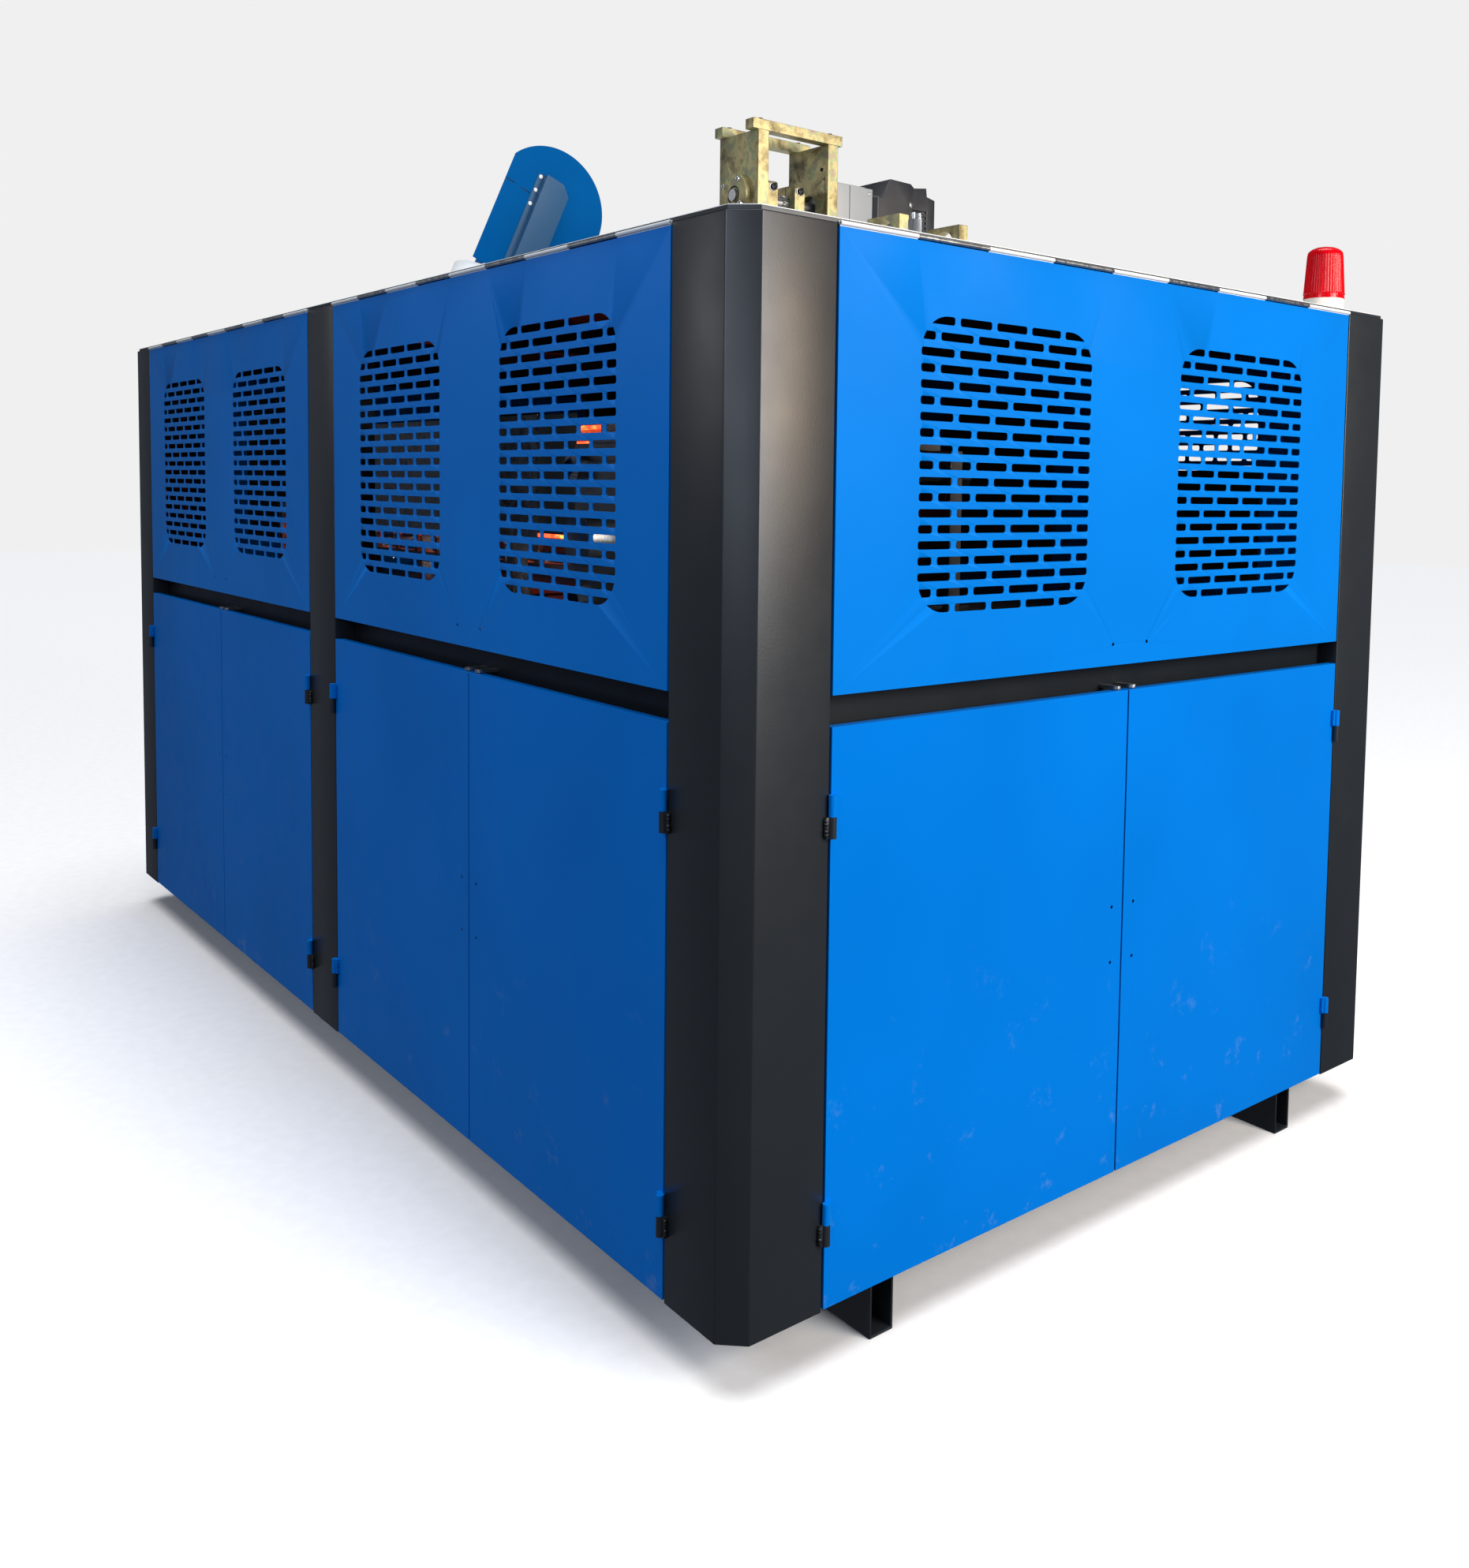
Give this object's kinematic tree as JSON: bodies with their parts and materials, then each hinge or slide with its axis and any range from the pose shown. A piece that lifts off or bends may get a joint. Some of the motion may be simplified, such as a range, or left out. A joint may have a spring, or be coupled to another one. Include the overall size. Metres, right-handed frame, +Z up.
{
  "type": "blow moulding machine",
  "caption": "Enclosed stretch blow moulding machine with blue hinged doors, vented lift-up panels, roof drive, extraction fan and warning light.",
  "frame": {"origin": "on the floor under the middle of the machine", "axes": "+Z up, +X to the right along the long front, +Y to the back"},
  "size_m": [3.9605, 2.151, 2.589],
  "materials": {
    "blue_powder_coat": "satin",
    "charcoal_powder_coat": "fine texture",
    "grey_enamel": "satin",
    "frame_enamel": "satin",
    "zinc_yellow": "yellow passivated",
    "bright_steel": "ground",
    "zinc_plate": "galvanised",
    "mould_aluminium": "machined",
    "motor_silver": "satin",
    "black_moulding": "fine texture",
    "red_lens": "ribbed, translucent",
    "cream_moulding": "moulded",
    "lamp_quartz": "clear, glowing",
    "reflector_chrome": "polished"
  },
  "bodies": {
    "machine": {"skid_rails": "frame_enamel", "welded_frame": "frame_enamel", "posts": "charcoal_powder_coat", "roof_sheets": "grey_enamel", "hinge_pintles": "charcoal_powder_coat", "panel_hinges": "zinc_plate", "door_catches": "zinc_plate", "left_lower_panel": "blue_powder_coat", "bed_plates": "bright_steel", "clamp_end_plates": "bright_steel", "tie_bars": "reflector_chrome", "clamp_cylinders": "mould_aluminium", "nozzle_beam": "bright_steel", "stretch_columns": "reflector_chrome", "stretch_top_plate": "bright_steel", "drive_bracket": "zinc_yellow", "bearing_flange": "bright_steel", "bearing_blocks": "zinc_yellow", "servo_motor": "motor_silver", "motor_cover": "black_moulding", "idler_plates": "zinc_yellow", "air_port": "bright_steel", "fan_housing": "blue_powder_coat", "fan_cover": "blue_powder_coat", "fan_duct": "zinc_plate", "fan_motor": "motor_silver", "beacon_base": "cream_moulding", "beacon_lens": "red_lens", "oven_boxes": "zinc_plate", "heater_lamps": "lamp_quartz", "carrier_chain": "bright_steel", "chain_guides": "bright_steel", "electrical_cabinet": "grey_enamel", "air_tank": "grey_enamel"},
    "clamp_front": {"platen_front": "bright_steel", "mould_front": "mould_aluminium"},
    "clamp_back": {"platen_back": "bright_steel", "mould_back": "mould_aluminium"},
    "stretch": {"stretch_carriage": "bright_steel", "stretch_rods": "reflector_chrome"},
    "drive": {"drive_shaft": "bright_steel"},
    "impeller": {"fan_impeller": "zinc_plate"},
    "reflector": {"beacon_reflector": "reflector_chrome"},
    "wheel": {"carrier_wheel": "mould_aluminium"},
    "door_front_1_left": {"door_front_1_left": "blue_powder_coat"},
    "door_front_1_right": {"door_front_1_right": "blue_powder_coat"},
    "lift_panel_front_1": {"lift_panel_front_1": "blue_powder_coat"},
    "door_front_2_left": {"door_front_2_left": "blue_powder_coat"},
    "door_front_2_right": {"door_front_2_right": "blue_powder_coat"},
    "lift_panel_front_2": {"lift_panel_front_2": "blue_powder_coat"},
    "door_right_left": {"door_right_left": "blue_powder_coat"},
    "door_right_right": {"door_right_right": "blue_powder_coat"},
    "lift_panel_right": {"lift_panel_right": "blue_powder_coat"},
    "door_back_1_left": {"door_back_1_left": "blue_powder_coat"},
    "door_back_1_right": {"door_back_1_right": "blue_powder_coat"},
    "lift_panel_back_1": {"lift_panel_back_1": "blue_powder_coat"},
    "door_back_2_left": {"door_back_2_left": "blue_powder_coat"},
    "door_back_2_right": {"door_back_2_right": "blue_powder_coat"},
    "lift_panel_back_2": {"lift_panel_back_2": "blue_powder_coat"},
    "lift_panel_left": {"lift_panel_left": "blue_powder_coat"}
  },
  "joints": [
    {"name": "door_front_1_left_hinge", "type": "hinge", "parent": "machine", "child": "door_front_1_left", "pos_m": [-1.7575, -1.068, 0.664], "axis": [0, 0, -1], "range_deg": [0, 95]},
    {"name": "door_front_1_right_hinge", "type": "hinge", "parent": "machine", "child": "door_front_1_right", "pos_m": [-0.0975, -1.068, 0.664], "axis": [0, 0, 1], "range_deg": [0, 95]},
    {"name": "lift_panel_front_1_hinge", "type": "hinge", "parent": "machine", "child": "lift_panel_front_1", "pos_m": [-0.9275, -1.061, 2.11], "axis": [-1, 0, 0], "range_deg": [0, 85]},
    {"name": "door_front_2_left_hinge", "type": "hinge", "parent": "machine", "child": "door_front_2_left", "pos_m": [0.0975, -1.068, 0.664], "axis": [0, 0, -1], "range_deg": [0, 95]},
    {"name": "door_front_2_right_hinge", "type": "hinge", "parent": "machine", "child": "door_front_2_right", "pos_m": [1.7575, -1.068, 0.664], "axis": [0, 0, 1], "range_deg": [0, 95]},
    {"name": "lift_panel_front_2_hinge", "type": "hinge", "parent": "machine", "child": "lift_panel_front_2", "pos_m": [0.9275, -1.061, 2.11], "axis": [-1, 0, 0], "range_deg": [0, 85]},
    {"name": "door_right_left_hinge", "type": "hinge", "parent": "machine", "child": "door_right_left", "pos_m": [1.978, -0.8475, 0.664], "axis": [0, 0, -1], "range_deg": [0, 95]},
    {"name": "door_right_right_hinge", "type": "hinge", "parent": "machine", "child": "door_right_right", "pos_m": [1.978, 0.8475, 0.664], "axis": [0, 0, 1], "range_deg": [0, 95]},
    {"name": "lift_panel_right_hinge", "type": "hinge", "parent": "machine", "child": "lift_panel_right", "pos_m": [1.971, 0, 2.11], "axis": [0, -1, 0], "range_deg": [0, 85]},
    {"name": "door_back_1_left_hinge", "type": "hinge", "parent": "machine", "child": "door_back_1_left", "pos_m": [1.7575, 1.068, 0.664], "axis": [0, 0, -1], "range_deg": [0, 95]},
    {"name": "door_back_1_right_hinge", "type": "hinge", "parent": "machine", "child": "door_back_1_right", "pos_m": [0.0975, 1.068, 0.664], "axis": [0, 0, 1], "range_deg": [0, 95]},
    {"name": "lift_panel_back_1_hinge", "type": "hinge", "parent": "machine", "child": "lift_panel_back_1", "pos_m": [0.9275, 1.061, 2.11], "axis": [1, 0, 0], "range_deg": [0, 85]},
    {"name": "door_back_2_left_hinge", "type": "hinge", "parent": "machine", "child": "door_back_2_left", "pos_m": [-0.0975, 1.068, 0.664], "axis": [0, 0, -1], "range_deg": [0, 95]},
    {"name": "door_back_2_right_hinge", "type": "hinge", "parent": "machine", "child": "door_back_2_right", "pos_m": [-1.7575, 1.068, 0.664], "axis": [0, 0, 1], "range_deg": [0, 95]},
    {"name": "lift_panel_back_2_hinge", "type": "hinge", "parent": "machine", "child": "lift_panel_back_2", "pos_m": [-0.9275, 1.061, 2.11], "axis": [1, 0, 0], "range_deg": [0, 85]},
    {"name": "lift_panel_left_hinge", "type": "hinge", "parent": "machine", "child": "lift_panel_left", "pos_m": [-1.971, 0, 2.11], "axis": [0, 1, 0], "range_deg": [0, 85]},
    {"name": "clamp_front_slide", "type": "slide", "parent": "machine", "child": "clamp_front", "axis": [0, 1, 0], "range_m": [0, 0.1098]},
    {"name": "clamp_back_slide", "type": "slide", "parent": "machine", "child": "clamp_back", "axis": [0, -1, 0], "range_m": [0, 0.1098]},
    {"name": "stretch_slide", "type": "slide", "parent": "machine", "child": "stretch", "axis": [0, 0, 1], "range_m": [0, 0.23]},
    {"name": "drive_spin", "type": "hinge", "parent": "machine", "child": "drive", "pos_m": [1.193, -0.385, 2.317], "axis": [0, 1, 0], "range_deg": [0, 735]},
    {"name": "fan_spin", "type": "hinge", "parent": "machine", "child": "impeller", "pos_m": [0.235, -0.511, 2.419], "axis": [1, 0, 0], "continuous": true},
    {"name": "beacon_spin", "type": "hinge", "parent": "machine", "child": "reflector", "pos_m": [1.87, 0.888, 2.18], "axis": [0, 0, 1], "continuous": true},
    {"name": "wheel_spin", "type": "hinge", "parent": "machine", "child": "wheel", "pos_m": [0.45, -0.385, 1.415], "axis": [0, 0, 1], "continuous": true}
  ],
  "couplings": [
    {"joint": "clamp_back_slide", "follows": "clamp_front_slide", "ratio": 1},
    {"joint": "drive_spin", "follows": "stretch_slide", "rad_per_m": 55.556}
  ]
}
